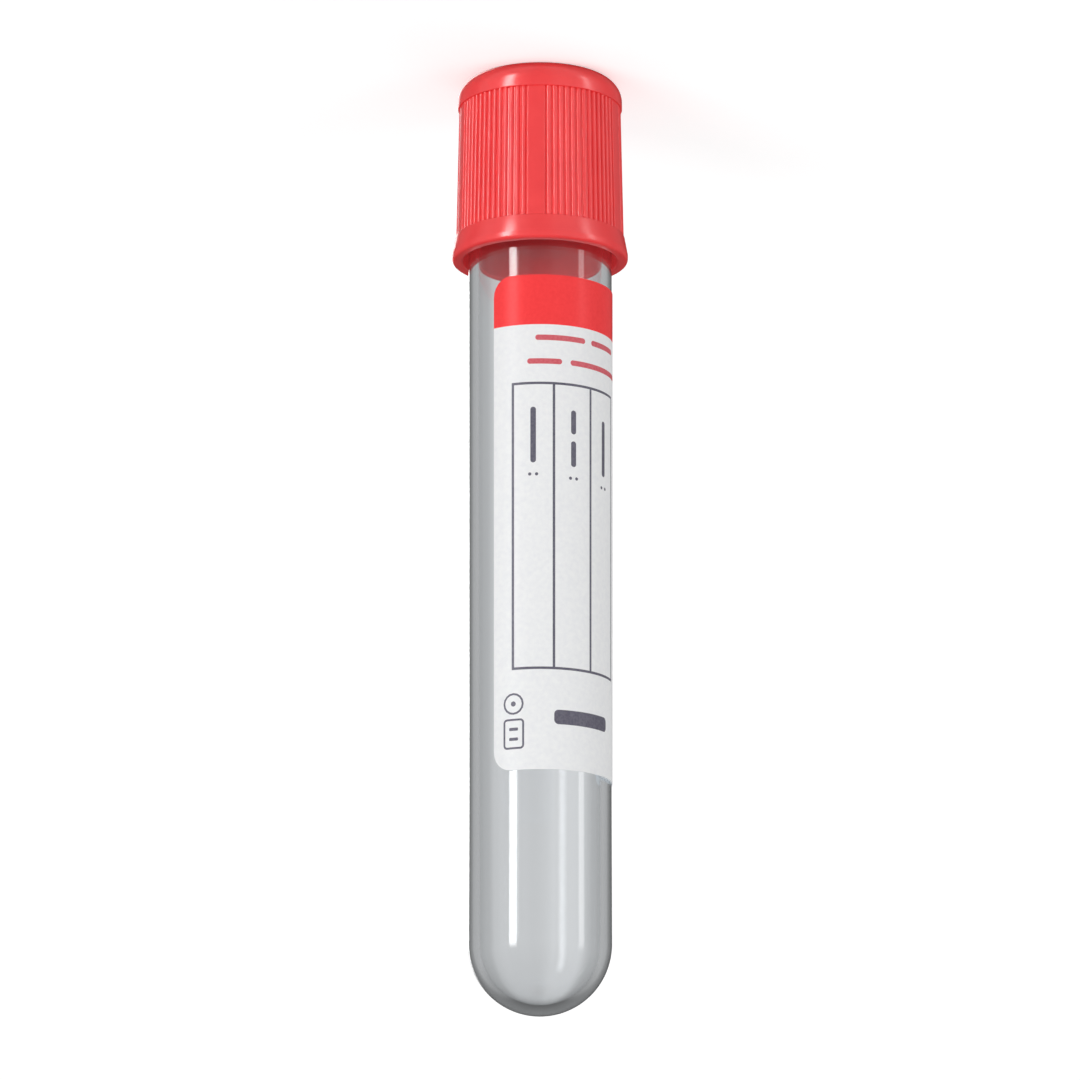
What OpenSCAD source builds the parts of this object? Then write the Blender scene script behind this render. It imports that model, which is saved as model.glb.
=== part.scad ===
// Blood collection tube, 16 x 100 mm: a clear moulded tube with a round end, the rubber
// stopper in its mouth, the ribbed plastic cap that goes over both, and a paper label.
// The tube stands on its cap: the cap's flat end lies in the XY plane, the axis is Z,
// and +Z runs up to the tube's round end. The front of the part faces -Y.

/* [Tube] */
// Outside diameter of the tube at its mouth
tube_d = 16; // [15:0.1:17]
// Length of the tube, from its open rim to its round end
tube_len = 100; // [90:1:120]
// Wall at the open end, where the stopper sits
tube_wall = 1.1; // [0.8:0.05:1.4]
// Length of the straight mouth, before the moulding draft starts
mouth_len = 11; // [10:0.5:20]
// Moulding draft: how much the outside radius loses below the mouth
tube_draft = 0.2; // [0.05:0.05:0.3]
// Length of the straight wall before the round end, which goes into a rack's hole
end_len = 16; // [10:1:20]
// Wall at the round end
end_wall = 1.2; // [0.9:0.05:1.5]
// Chamfer on both edges of the open rim
rim_chamfer = 0.25; // [0.1:0.05:0.35]

/* [Stopper] */
// Thickness of the stopper's head, between the cap and the tube's rim
head_t = 4.6; // [4:0.1:6]
// Length of the plug that goes into the tube
plug_len = 8.5; // [7:0.5:10]
// Radial clearance of the plug's sealing rings in the tube
plug_gap = 0.04; // [0.03:0.01:0.05]
// How far the two sealing rings stand out from the plug
seal_h = 0.3; // [0.2:0.05:0.4]
// Radius of the sealing rings' round crowns
seal_r = 0.9; // [0.7:0.1:1.1]
// Chamfer that leads the plug into the tube
plug_lead = 0.8; // [0.4:0.1:1]
// Diameter of the well that guides the needle
well_d = 6.4; // [5:0.2:7]
// Depth of the needle well
well_depth = 1.5; // [1:0.1:2]
// Diameter of the hollow in the plug's end
hollow_d = 8; // [6:0.2:9]
// Thickness of the rubber that the needle pierces
septum_t = 4.2; // [3:0.1:5]

/* [Cap] */
// Height of the cap
cap_h = 21.1; // [20:0.1:24]
// Thickness of the cap's flat end
flange_t = 1.4; // [1:0.1:1.8]
// Diameter of the needle port in the flat end
port_d = 8; // [7:0.2:9]
// Chamfer round the needle port
port_chamfer = 0.4; // [0.2:0.1:0.6]
// Gap between the cap's seat and the tube
cap_gap = 0.2; // [0.2:0.05:0.4]
// Wall of the cap at its smooth ring
cap_wall = 1; // [0.9:0.05:1.3]
// Radius of the round shoulder
shoulder_r = 2.4; // [1.5:0.1:2.8]
// Radius inside the shoulder, which the stopper's head follows
inner_shoulder_r = 1; // [0.6:0.1:1.3]
// Height of the smooth ring, shoulder and all
ring_h = 3.3; // [2.9:0.1:4]
// How far the rib tops lie in from the smooth ring
panel_step = 0.15; // [0.1:0.05:0.25]
// How much the ribbed wall widens towards the skirt, in radius
panel_flare = 0.3; // [0.1:0.05:0.4]
// Height of the plain skirt band
band_h = 2.8; // [2:0.1:4]
// How far the skirt band starts out from the rib tops
band_step = 0.08; // [0.05:0.01:0.15]
// How far the skirt's edge stands out from the smooth ring
skirt_flare = 0.6; // [0.5:0.05:0.9]
// Height of the skirt's upright edge
edge_h = 0.8; // [0.5:0.1:1.2]
// Radius of the skirt's outer edge
edge_r = 0.35; // [0.2:0.05:0.4]
// Thickness of the skirt at its edge
skirt_t = 1.2; // [1:0.05:1.4]
// Radius of the snap bead that holds the stopper's head
bead_r = 0.35; // [0.25:0.05:0.4]
// How far the snap bead stands into the cap
bead_h = 0.25; // [0.15:0.05:0.3]
// Clearance round the stopper's head in the cap
head_gap = 0.05; // [0.02:0.01:0.1]

/* [Ribs] */
// Number of panels round the cap, of which the rear one is smooth
panels = 5; // [4:1:6]
// Ribs in each ribbed panel
ribs = 13; // [8:1:13]
// Angle from rib to rib, in degrees
rib_pitch = 4.5; // [4.3:0.05:4.6]
// Width of a rib
rib_w = 0.6; // [0.5:0.02:0.64]
// Height of a rib
rib_h = 0.24; // [0.16:0.02:0.28]
// Width of the flat strip between two panels
strip_w = 2; // [1.5:0.1:2.4]
// How far the front strip is turned from the front, in degrees
cap_turn = 2.8; // [-30:0.1:30]
// Width of the raised line down the smooth panel
line_w = 0.4; // [0.3:0.05:0.6]

/* [Label] */
// Width of the label, measured round the tube
label_w = 21.5; // [16:0.5:30]
// Length of the label along the tube
label_len = 55.6; // [40:0.2:60]
// Thickness of the label
label_t = 0.1; // [0.08:0.01:0.15]
// Radius of the label's corners
label_corner = 2.2; // [1:0.1:3]
// Bare tube between the cap's skirt and the label
label_gap = 3.8; // [2:0.1:6]
// How far the middle of the label is turned from the front, in degrees
label_turn = -37; // [-90:0.5:90]

/* [Hidden] */
$fn = 96;
// How far a cut runs past a face, and a joined piece into its carrier
over = 0.2;

// Tube
tube_r = tube_d / 2;
mouth_r = tube_r - tube_wall;
end_r = tube_r - tube_draft;
hollow_end_r = end_r - end_wall;
// Height of the tube's rim, which rests on the underside of the stopper's head
rim_z = flange_t + head_t;
// Height of the middle of the round end, and of both ends of the drafted wall
dome_z = rim_z + tube_len - end_r;
draft_z = rim_z + mouth_len;
end_z = dome_z - end_len;

// Cap
seat_r = tube_r + cap_gap;
ring_r = seat_r + cap_wall;
skirt_r = ring_r + skirt_flare;
skirt_in_r = skirt_r - skirt_t;
// The straight seat ends a little past the tube's rim
seat_z = rim_z + 3;
port_r = port_d / 2;
bead_z = flange_t + head_t / 2;
bead_ring_r = seat_r + bead_r - bead_h;

// Ribbed wall: radius over the rib tops at both ends, and the slope between them
panel_z = ring_h;
panel_h = cap_h - band_h - ring_h;
tip_r = ring_r - panel_step;
slope = atan(panel_flare / panel_h);
sector = 360 / panels;
strip_angle = 2 * asin(strip_w / 2 / tip_r);
front_angle = -90 + cap_turn;

// Stopper
head_r = seat_r - head_gap;
plug_r = mouth_r - plug_gap;
core_r = plug_r - seal_h;
plug_z = rim_z + plug_len;
// The hollow's round top sits over the rubber that the needle pierces
hollow_top_z = flange_t + well_depth + septum_t;
// The sealing rings lie side by side with a groove between them, clear of the lead-in
seal_pitch = (plug_len - plug_lead - 2 * seal_r) / 1.5;
first_seal_z = rim_z + seal_r + seal_pitch / 4;

// Label
label_r = tube_r + label_t;
label_angle = label_w / label_r * 180 / PI;
corner_angle = asin(label_corner / label_r);
label_z = cap_h + label_gap;

// A round bar bent into a ring, bar_r thick and ring_radius from the axis.
module ring_bar(ring_radius, bar_r, z) {
    translate([0, 0, z])
        rotate_extrude()
            translate([ring_radius, 0]) circle(r = bar_r);
}

// A disc standing on z whose lower edge is rounded to corner_r.
module round_foot(r, corner_r, z, h) {
    translate([0, 0, z])
        rotate_extrude() {
            square([r - corner_r, h]);
            translate([0, corner_r]) square([r, h - corner_r]);
            translate([r - corner_r, corner_r]) circle(r = corner_r);
        }
}

// Places a piece on the cap's sloping wall, turned by angle: its x axis points outwards,
// its z axis runs along the wall, and its origin lies depth below the rib tops.
module on_wall(angle, depth) {
    rotate([0, 0, angle])
        translate([tip_r - depth, 0, panel_z])
            rotate([0, slope, 0]) children();
}

// Outside of the tube, grown by a sheet's thickness: a straight mouth, the drafted wall,
// the straight wall of the end that goes into a rack, and the round end.
module tube_outside(grow) {
    translate([0, 0, rim_z])
        cylinder(r1 = tube_r - rim_chamfer + grow, r2 = tube_r + grow, h = rim_chamfer);
    translate([0, 0, rim_z + rim_chamfer])
        cylinder(r = tube_r + grow, h = mouth_len - rim_chamfer);
    translate([0, 0, draft_z])
        cylinder(r1 = tube_r + grow, r2 = end_r + grow, h = end_z - draft_z);
    translate([0, 0, end_z]) cylinder(r = end_r + grow, h = end_len);
    translate([0, 0, dome_z]) sphere(r = end_r + grow);
}

// The clear tube, with a straight bore at the mouth for the stopper and a drafted hollow.
module tube_body() {
    color([0.86, 0.90, 0.93, 0.55])
        difference() {
            tube_outside(0);
            translate([0, 0, rim_z - over])
                cylinder(r = mouth_r, h = mouth_len + over);
            translate([0, 0, rim_z - over])
                cylinder(r1 = mouth_r + rim_chamfer + over, r2 = mouth_r, h = rim_chamfer + over);
            translate([0, 0, draft_z])
                cylinder(r1 = mouth_r, r2 = hollow_end_r, h = dome_z - draft_z);
            translate([0, 0, dome_z]) sphere(r = hollow_end_r);
        }
}

// The plug: a core with two sealing rings and a chamfer that leads it into the tube.
module plug() {
    translate([0, 0, rim_z - over])
        cylinder(r = core_r, h = plug_len - plug_lead + over);
    translate([0, 0, plug_z - plug_lead])
        cylinder(r1 = core_r, r2 = core_r - plug_lead / 2, h = plug_lead);
    for (i = [0, 1])
        ring_bar(plug_r - seal_r, seal_r, first_seal_z + i * seal_pitch);
}

// The rubber stopper: a head that the cap snaps over, and the hollow plug below it.
module rubber_stopper() {
    color([0.42, 0.42, 0.44])
        difference() {
            union() {
                round_foot(head_r, inner_shoulder_r, flange_t, head_t);
                plug();
            }
            // Groove for the cap's snap bead
            ring_bar(bead_ring_r, bead_r + head_gap, bead_z);
            // Needle well
            translate([0, 0, flange_t - over])
                cylinder(d = well_d, h = well_depth + over);
            // Hollow, which leaves the rubber that the needle pierces
            translate([0, 0, hollow_top_z + hollow_d / 4])
                cylinder(d = hollow_d, h = plug_z);
            translate([0, 0, hollow_top_z])
                cylinder(d1 = hollow_d / 2, d2 = hollow_d, h = hollow_d / 4);
        }
}

// Outside of the cap, without ribs: the round shoulder, the sloping wall and the skirt.
module cap_outside() {
    root_r = tip_r - rib_h;
    band_r = tip_r + panel_flare + band_step;
    band_z = cap_h - band_h;
    round_foot(ring_r, shoulder_r, 0, ring_h);
    translate([0, 0, panel_z - over])
        cylinder(r1 = root_r, r2 = root_r + panel_flare, h = panel_h + 2 * over);
    translate([0, 0, band_z])
        cylinder(r1 = band_r, r2 = skirt_r, h = band_h - edge_h);
    translate([0, 0, cap_h]) mirror([0, 0, 1])
        round_foot(skirt_r, edge_r, 0, edge_h);
}

// Inside of the cap: a seat for the stopper and the tube, then a draft out to the skirt.
module cap_inside() {
    round_foot(seat_r, inner_shoulder_r, flange_t, seat_z - flange_t);
    translate([0, 0, seat_z])
        cylinder(r1 = seat_r, r2 = skirt_in_r, h = cap_h - seat_z);
    translate([0, 0, cap_h - over]) cylinder(r = skirt_in_r, h = 2 * over);
    // Needle port and its chamfer
    translate([0, 0, -over]) cylinder(r = port_r, h = flange_t + 2 * over);
    translate([0, 0, -over])
        cylinder(r1 = port_r + port_chamfer + over, r2 = port_r, h = port_chamfer + over);
}

// One panel of half-round ribs, with its middle at the given angle.
module ribbed_panel(angle) {
    for (i = [0 : ribs - 1])
        on_wall(angle + (i - (ribs - 1) / 2) * rib_pitch, rib_w / 2)
            translate([0, 0, -over]) cylinder(d = rib_w, h = panel_h + 2 * over, $fn = 24);
}

// The smooth panel at the rear, level with the rib tops, and the raised line down it.
module smooth_panel(angle) {
    span = sector - strip_angle - 2;
    rotate([0, 0, angle - span / 2])
        rotate_extrude(angle = span)
            polygon([[seat_r + cap_wall / 4, panel_z - over],
                     [tip_r - over * tan(slope), panel_z - over],
                     [tip_r + panel_flare, cap_h - band_h + over],
                     [seat_r + cap_wall / 4, cap_h - band_h + over]]);
    on_wall(angle, line_w / 4)
        translate([0, 0, -over]) cylinder(d = line_w, h = panel_h + 2 * over, $fn = 24);
}

// A flat strip between two panels, level with the rib tops at its edges.
module flat_strip(angle) {
    depth = rib_h + cap_wall / 4;
    on_wall(angle, tip_r * (1 - cos(strip_angle / 2)))
        translate([-depth, -strip_w / 2, -over])
            cube([depth, strip_w, panel_h + 2 * over]);
}

// The plastic cap: ribbed panels with flat strips between them, and a smooth rear panel.
module safety_cap() {
    color([0.86, 0.16, 0.18]) {
        difference() {
            union() {
                cap_outside();
                for (i = [0 : panels - 1])
                    flat_strip(front_angle + i * sector);
                for (i = [0 : panels - 1])
                    if (i == floor(panels / 2))
                        smooth_panel(front_angle + (i + 0.5) * sector);
                    else
                        ribbed_panel(front_angle + (i + 0.5) * sector);
            }
            cap_inside();
        }
        // Snap bead that holds the stopper's head
        ring_bar(bead_ring_r, bead_r, bead_z);
    }
}

// A radial cutter that rounds one corner of the label. side and end are 1 or -1.
// Its arc is a little larger than its distance from the edges, so that it crosses them.
module corner_cutter(side, end) {
    size = 2 * label_corner;
    start = label_corner / 20;
    corner_z = label_z + label_len / 2 + end * (label_len / 2 - label_corner);
    rotate([0, 0, side * (label_angle / 2 - corner_angle)])
        translate([0, 0, corner_z])
            difference() {
                translate([0, side > 0 ? start : -size, end > 0 ? start : -size])
                    cube([2 * tube_r, size - start, size - start]);
                rotate([0, 90, 0]) cylinder(r = 1.01 * label_corner, h = 2 * tube_r);
            }
}

// The paper label: a thin sheet that follows part of the tube, with rounded corners.
module paper_label() {
    color([0.95, 0.95, 0.94])
        rotate([0, 0, -90 + label_turn])
            difference() {
                intersection() {
                    tube_outside(label_t);
                    rotate([0, 0, -label_angle / 2])
                        translate([0, 0, label_z])
                            rotate_extrude(angle = label_angle)
                                translate([mouth_r, 0]) square([tube_r, label_len]);
                }
                tube_outside(0);
                for (side = [-1, 1], end = [-1, 1])
                    corner_cutter(side, end);
            }
}

tube_body();
rubber_stopper();
safety_cap();
paper_label();
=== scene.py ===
"""Blood collection tube, 16 x 100 mm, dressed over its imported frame.

Four pieces stand for the four solids. The clear tube and its printed label ride on the
body "tube", the rubber stopper and the ribbed cap on "closure". The part stands on the
cap's flat end, so its round end is up. Lengths here are in millimetres, and become
metres where a mesh, a material or the camera is made.
"""

from __future__ import annotations

import logging
import math
from collections.abc import Sequence
from dataclasses import dataclass, field, replace
from enum import Enum

import bpy
from mathutils import Matrix, Vector
from mathutils.geometry import delaunay_2d_cdt

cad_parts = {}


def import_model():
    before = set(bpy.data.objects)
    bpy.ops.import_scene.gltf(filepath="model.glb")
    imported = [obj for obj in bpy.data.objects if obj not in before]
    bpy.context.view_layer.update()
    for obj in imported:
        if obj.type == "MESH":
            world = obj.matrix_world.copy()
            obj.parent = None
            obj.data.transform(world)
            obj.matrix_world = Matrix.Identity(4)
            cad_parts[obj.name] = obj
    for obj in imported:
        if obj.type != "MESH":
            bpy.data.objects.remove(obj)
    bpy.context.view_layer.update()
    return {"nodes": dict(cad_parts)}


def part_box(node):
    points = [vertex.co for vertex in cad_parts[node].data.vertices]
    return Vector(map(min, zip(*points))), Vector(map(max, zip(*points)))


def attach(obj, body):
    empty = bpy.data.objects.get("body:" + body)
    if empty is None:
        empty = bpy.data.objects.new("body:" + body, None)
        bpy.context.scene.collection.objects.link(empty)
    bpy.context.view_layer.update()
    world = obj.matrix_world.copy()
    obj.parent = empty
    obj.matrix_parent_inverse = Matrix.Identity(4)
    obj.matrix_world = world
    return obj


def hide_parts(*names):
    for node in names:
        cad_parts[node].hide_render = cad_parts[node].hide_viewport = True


log = logging.getLogger("blood_tube")

MM = 0.001
FULL_TURN = 2 * math.pi
# Neighbouring faces that meet at more than this are shaded as an edge.
EDGE_ANGLE = math.radians(38)
# A fillet takes at most this share of the lines on both sides of its corner.
FILLET_SHARE = 0.48
# Chords in a fillet of a solid and of print.
FILLET_STEPS = 5
PRINT_STEPS = 6
# Blender's noise hardly leaves this range.
NOISE_RANGE = (0.3, 0.7)
# Printed edges closer than this, in millimetres, are cut as one.
CUT_TOLERANCE = 1e-5
# A ring of bars with no bare panel.
NO_PANEL = -1
# Height of the sky's top, in degrees.
STRAIGHT_UP = 90.0
WHITE = (1.0, 1.0, 1.0, 1.0)

Point = tuple[float, float]
Stroke = tuple[Point, Point]
Box = tuple[float, float, float, float]
Colour = tuple[float, float, float]
Socket = bpy.types.NodeSocket


class Body(Enum):
    """The two bodies of the frame."""

    TUBE = "tube"
    CLOSURE = "closure"


class Slot(Enum):
    """The record's material slots."""

    CLEAR_PLASTIC = "clear_plastic"
    STOPPER_RUBBER = "stopper_rubber"
    RED_PLASTIC = "red_plastic"
    LABEL_PAPER = "label_paper"


class Print(Enum):
    """What covers a patch of the label."""

    PAPER = 0
    RED_FIELD = 1
    RED_MARK = 2
    GREY_MARK = 3


Patch = tuple[Print, list[Point]]


# ---------------------------------------------------------------- shapes


@dataclass(frozen=True)
class Corner:
    """A corner of a drawn outline, in millimetres, rounded by its fillet."""

    x: float
    y: float
    fillet: float = 0.0


class Outline:
    """An outline drawn as corners and arcs.

    As a turned section, x is the radius and y the height, and the outline runs down
    outer walls and up inner walls, which makes the faces point outwards.
    """

    def __init__(self) -> None:
        """Starts without any corner."""
        self._corners: list[Corner] = []

    def to(self, x: float, y: float, fillet: float = 0.0) -> Outline:
        """Adds a corner.

        Args:
            x: Radius, or distance across.
            y: Height, or distance along.
            fillet: Radius that rounds the corner.

        Returns:
            The outline itself, so that calls can be chained.
        """
        self._corners.append(Corner(x, y, fillet))
        return self

    def arc(
        self,
        centre: Point,
        radius: float,
        start: float,
        end: float,
        steps: int,
        fillet: float = 0.0,
    ) -> Outline:
        """Adds points along an arc.

        Args:
            centre: Middle of the arc.
            radius: Radius of the arc.
            start: Angle of the first point, in degrees.
            end: Angle of the last point, in degrees.
            steps: Number of chords.
            fillet: Radius that rounds the corner at each end.

        Returns:
            The outline itself.
        """
        for i in range(steps + 1):
            a = math.radians(start + (end - start) * i / steps)
            x, y = centre[0] + radius * math.cos(a), centre[1] + radius * math.sin(a)
            self.to(x, y, fillet if i in (0, steps) else 0.0)
        return self

    def points(self, closed: bool, steps: int = FILLET_STEPS) -> list[Point]:
        """Works out the points of the outline.

        Args:
            closed: Whether the last corner joins the first.
            steps: Chords in each fillet.

        Returns:
            The points in order.
        """
        corners = self._corners
        made: list[Point] = []
        for i, corner in enumerate(corners):
            at_end = not closed and i in (0, len(corners) - 1)
            if corner.fillet <= 0 or at_end:
                made.append((corner.x, corner.y))
                continue
            here = Vector((corner.x, corner.y))
            before = corners[i - 1]
            after = corners[(i + 1) % len(corners)]
            back = Vector((before.x, before.y)) - here
            ahead = Vector((after.x, after.y)) - here
            half = back.angle(ahead) / 2
            room = min(back.length, ahead.length) * FILLET_SHARE
            reach = min(corner.fillet / math.tan(half), room)
            radius = reach * math.tan(half)
            middle = (back.normalized() + ahead.normalized()).normalized()
            centre = here + middle * (radius / math.sin(half))
            first = here + back.normalized() * reach - centre
            last = here + ahead.normalized() * reach - centre
            swing = first.angle_signed(last)
            for k in range(steps + 1):
                turned = first @ Matrix.Rotation(swing * k / steps, 2)
                made.append((centre.x + turned.x, centre.y + turned.y))
        return made


def turned_faces(count: int, segments: int, closed: bool) -> list[tuple[int, ...]]:
    """Lists the quads between the rings of a turned section.

    Args:
        count: Number of rings.
        segments: Points in each ring.
        closed: Whether the last ring joins the first.

    Returns:
        The faces, as point numbers.
    """
    faces: list[tuple[int, ...]] = []
    for i in range(count if closed else count - 1):
        low, high = i * segments, (i + 1) % count * segments
        for j in range(segments):
            k = (j + 1) % segments
            faces.append((low + j, high + j, high + k, low + k))
    return faces


def turned_mesh(
    name: str, section: Sequence[Point], segments: int, closed: bool
) -> bpy.types.Mesh:
    """Turns a section round the tube's axis.

    Args:
        name: Name of the mesh.
        section: Points of (radius, height). An open one starts and ends on the axis.
        segments: Points round the axis.
        closed: Whether the section is a loop.

    Returns:
        The closed mesh, in metres.
    """
    rings = list(section) if closed else list(section[1:-1])
    points = [
        (
            r * math.cos(FULL_TURN * j / segments) * MM,
            r * math.sin(FULL_TURN * j / segments) * MM,
            z * MM,
        )
        for r, z in rings
        for j in range(segments)
    ]
    faces = turned_faces(len(rings), segments, closed)
    if not closed:
        top, bottom = len(points), len(points) + 1
        points += [(0.0, 0.0, section[0][1] * MM), (0.0, 0.0, section[-1][1] * MM)]
        last = (len(rings) - 1) * segments
        for j in range(segments):
            k = (j + 1) % segments
            faces.append((top, j, k))
            faces.append((bottom, last + k, last + j))
    mesh = bpy.data.meshes.new(name)
    mesh.from_pydata(points, [], faces)
    return shaded(mesh)


def lofted_mesh(name: str, rings: Sequence[Sequence[Vector]]) -> bpy.types.Mesh:
    """Joins rings of points by walls and closes both ends.

    Args:
        name: Name of the mesh.
        rings: Rings of equally many points in millimetres, anticlockwise as seen
            against the order of the rings.

    Returns:
        The closed mesh, in metres.
    """
    count = len(rings[0])
    points = [point * MM for ring in rings for point in ring]
    faces: list[tuple[int, ...]] = []
    for low in range(0, len(points) - count, count):
        high = low + count
        for j in range(count):
            k = (j + 1) % count
            faces.append((low + j, low + k, high + k, high + j))
    faces.append(tuple(reversed(range(count))))
    faces.append(tuple(range(len(points) - count, len(points))))
    mesh = bpy.data.meshes.new(name)
    mesh.from_pydata(points, [], faces)
    return shaded(mesh)


def shaded(mesh: bpy.types.Mesh) -> bpy.types.Mesh:
    """Shades a mesh smooth up to EDGE_ANGLE.

    Args:
        mesh: The mesh.

    Returns:
        The same mesh.
    """
    mesh.update()
    mesh.shade_smooth()
    mesh.set_sharp_from_angle(angle=EDGE_ANGLE)
    return mesh


def placed(name: str, mesh: bpy.types.Mesh) -> bpy.types.Object:
    """Puts a mesh in the scene, with its object at the origin.

    Args:
        name: Name of the object.
        mesh: The mesh.

    Returns:
        The object.
    """
    made = bpy.data.objects.new(name, mesh)
    bpy.context.scene.collection.objects.link(made)
    return made


def swept_bar(name: str, line: Outline, stations: Sequence[Matrix]) -> bpy.types.Object:
    """Sweeps a closed outline through several places and closes both ends.

    Args:
        name: Name of the bar.
        line: The outline, anticlockwise as seen against the sweep.
        stations: The place of the outline at each step, in millimetres.

    Returns:
        The bar.
    """
    section = [Vector((x, y, 0.0)) for x, y in line.points(closed=True)]
    rings = [[station @ point for point in section] for station in stations]
    return placed(name, lofted_mesh(name, rings))


@dataclass(frozen=True)
class Span:
    """How far a solid of the frame reaches, in millimetres."""

    low: float
    high: float
    radius: float

    @classmethod
    def of(cls, node: str) -> Span:
        """Reads the span of one solid.

        Args:
            node: Name of the solid.

        Returns:
            Its lowest and highest point, and its reach from the axis.
        """
        low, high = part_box(node)
        return cls(low.z / MM, high.z / MM, max(high.x, high.y) / MM)


# ---------------------------------------------------------------- finishes


def linear(colour: Colour) -> tuple[float, float, float, float]:
    """Turns a display colour into Blender's linear one.

    Args:
        colour: Red, green and blue from 0 to 255.

    Returns:
        Red, green, blue and a full alpha, from 0 to 1.
    """
    parts = [c / 255 for c in colour]
    done = [p / 12.92 if p <= 0.04045 else ((p + 0.055) / 1.055) ** 2.4 for p in parts]
    return (done[0], done[1], done[2], 1.0)


class Nodes:
    """A node tree that is filled by short calls."""

    def __init__(self, tree: bpy.types.NodeTree) -> None:
        """Empties the tree that it will fill."""
        self.tree = tree
        tree.nodes.clear()

    def add(
        self, kind: str, inputs: dict | None = None, **settings: object
    ) -> bpy.types.Node:
        """Adds one node.

        Args:
            kind: The node's type.
            inputs: Values or sockets by input name or number.
            **settings: Attributes of the node.

        Returns:
            The node.
        """
        node = self.tree.nodes.new(kind)
        for name, value in settings.items():
            setattr(node, name, value)
        for key, value in (inputs or {}).items():
            if isinstance(value, Socket):
                self.tree.links.new(value, node.inputs[key])
            else:
                node.inputs[key].default_value = value
        return node

    def calc(self, operation: str, *values: Socket | float) -> Socket:
        """Adds a calculation with up to three numbers and returns its socket."""
        kind = "ShaderNodeMath"
        return self.add(kind, dict(enumerate(values)), operation=operation).outputs[0]

    def count(self, operation: str, *values: Socket | int) -> Socket:
        """Adds a calculation with whole numbers and returns its socket."""
        kind = "FunctionNodeIntegerMath"
        return self.add(kind, dict(enumerate(values)), operation=operation).outputs[0]

    def mixed(
        self, factor: Socket, first: Socket | float, second: Socket | float
    ) -> Socket:
        """Mixes two numbers by a factor and returns the socket."""
        inputs = {0: factor, 2: first, 3: second}
        return self.add("ShaderNodeMix", inputs, data_type="FLOAT").outputs[0]

    def ranged(
        self,
        value: Socket,
        start: float,
        end: float,
        span: tuple[float, float] = NOISE_RANGE,
        soft: bool = False,
    ) -> Socket:
        """Maps a number, such as noise, to a range and keeps it inside.

        Args:
            value: Socket with the number.
            start: What the number becomes at the start of its span.
            end: What it becomes at the end of its span.
            span: Start and end of its span.
            soft: Whether it eases in and out.

        Returns:
            The socket with the new number.
        """
        inputs = {0: value, 1: span[0], 2: span[1], 3: start, 4: end}
        way = "SMOOTHSTEP" if soft else "LINEAR"
        node = self.add("ShaderNodeMapRange", inputs, interpolation_type=way)
        return node.outputs[0]

    def noise(self, size: float, detail: float = 2.0, stretch: float = 1.0) -> Socket:
        """Adds noise on the object's own coordinates.

        Args:
            size: Size of a patch, in millimetres.
            detail: Octaves of finer noise.
            stretch: How many times longer a patch is along the tube than across it.

        Returns:
            The noise's output socket.
        """
        place = self.add("ShaderNodeTexCoord").outputs["Object"]
        scale = 1 / (size * MM)
        mapped = self.add(
            "ShaderNodeMapping",
            {"Vector": place, "Scale": (scale, scale, scale / stretch)},
        )
        return self.add(
            "ShaderNodeTexNoise",
            {"Vector": mapped.outputs[0], "Scale": 1.0, "Detail": detail},
        ).outputs["Fac"]

    def blended(self, factor: Socket, first: Colour, second: Colour) -> Socket:
        """Mixes two display colours by a socket and returns the socket."""
        inputs = {0: factor, 6: linear(first), 7: linear(second)}
        return self.add("ShaderNodeMix", inputs, data_type="RGBA").outputs[2]

    def bump(self, height: Socket, strength: float, depth: float) -> Socket:
        """Adds a bump.

        Args:
            height: Socket with the height from 0 to 1.
            strength: Strength of the bump, 0 to 1.
            depth: How deep it is, in millimetres.

        Returns:
            The socket of its normal.
        """
        inputs = {"Height": height, "Strength": strength, "Distance": depth * MM}
        return self.add("ShaderNodeBump", inputs).outputs["Normal"]


@dataclass(frozen=True)
class Finish:
    """A finish with a mottled colour, an uneven gloss and a fine grain.

    Sizes and depths are in millimetres. The patches of gloss are smaller than those of
    colour by gloss_share.
    """

    name: str
    colour: Colour
    mottle: Colour
    mottle_size: float
    gloss: tuple[float, float]
    grain: float
    grain_depth: float
    grain_strength: float = 0.4
    specular: float = 0.5
    sheen: float = 0.0
    mottle_detail: float = 3.0
    gloss_share: float = 0.6

    def material(self) -> bpy.types.Material:
        """Builds the finish as a procedural material.

        Returns:
            The material.
        """
        made = bpy.data.materials.new(self.name)
        made.use_nodes = True
        nodes = Nodes(made.node_tree)
        patches = nodes.noise(self.mottle_size, self.mottle_detail)
        mottled = nodes.ranged(patches, 0.0, 1.0)
        worn = nodes.noise(self.mottle_size * self.gloss_share)
        grain = nodes.noise(self.grain)
        surface = nodes.add(
            "ShaderNodeBsdfPrincipled",
            {
                "Base Color": nodes.blended(mottled, self.colour, self.mottle),
                "Roughness": nodes.ranged(worn, *self.gloss),
                "Normal": nodes.bump(grain, self.grain_strength, self.grain_depth),
                "Specular IOR Level": self.specular,
                "Sheen Weight": self.sheen,
            },
        )
        nodes.add("ShaderNodeOutputMaterial", {"Surface": surface.outputs[0]})
        return made


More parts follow.
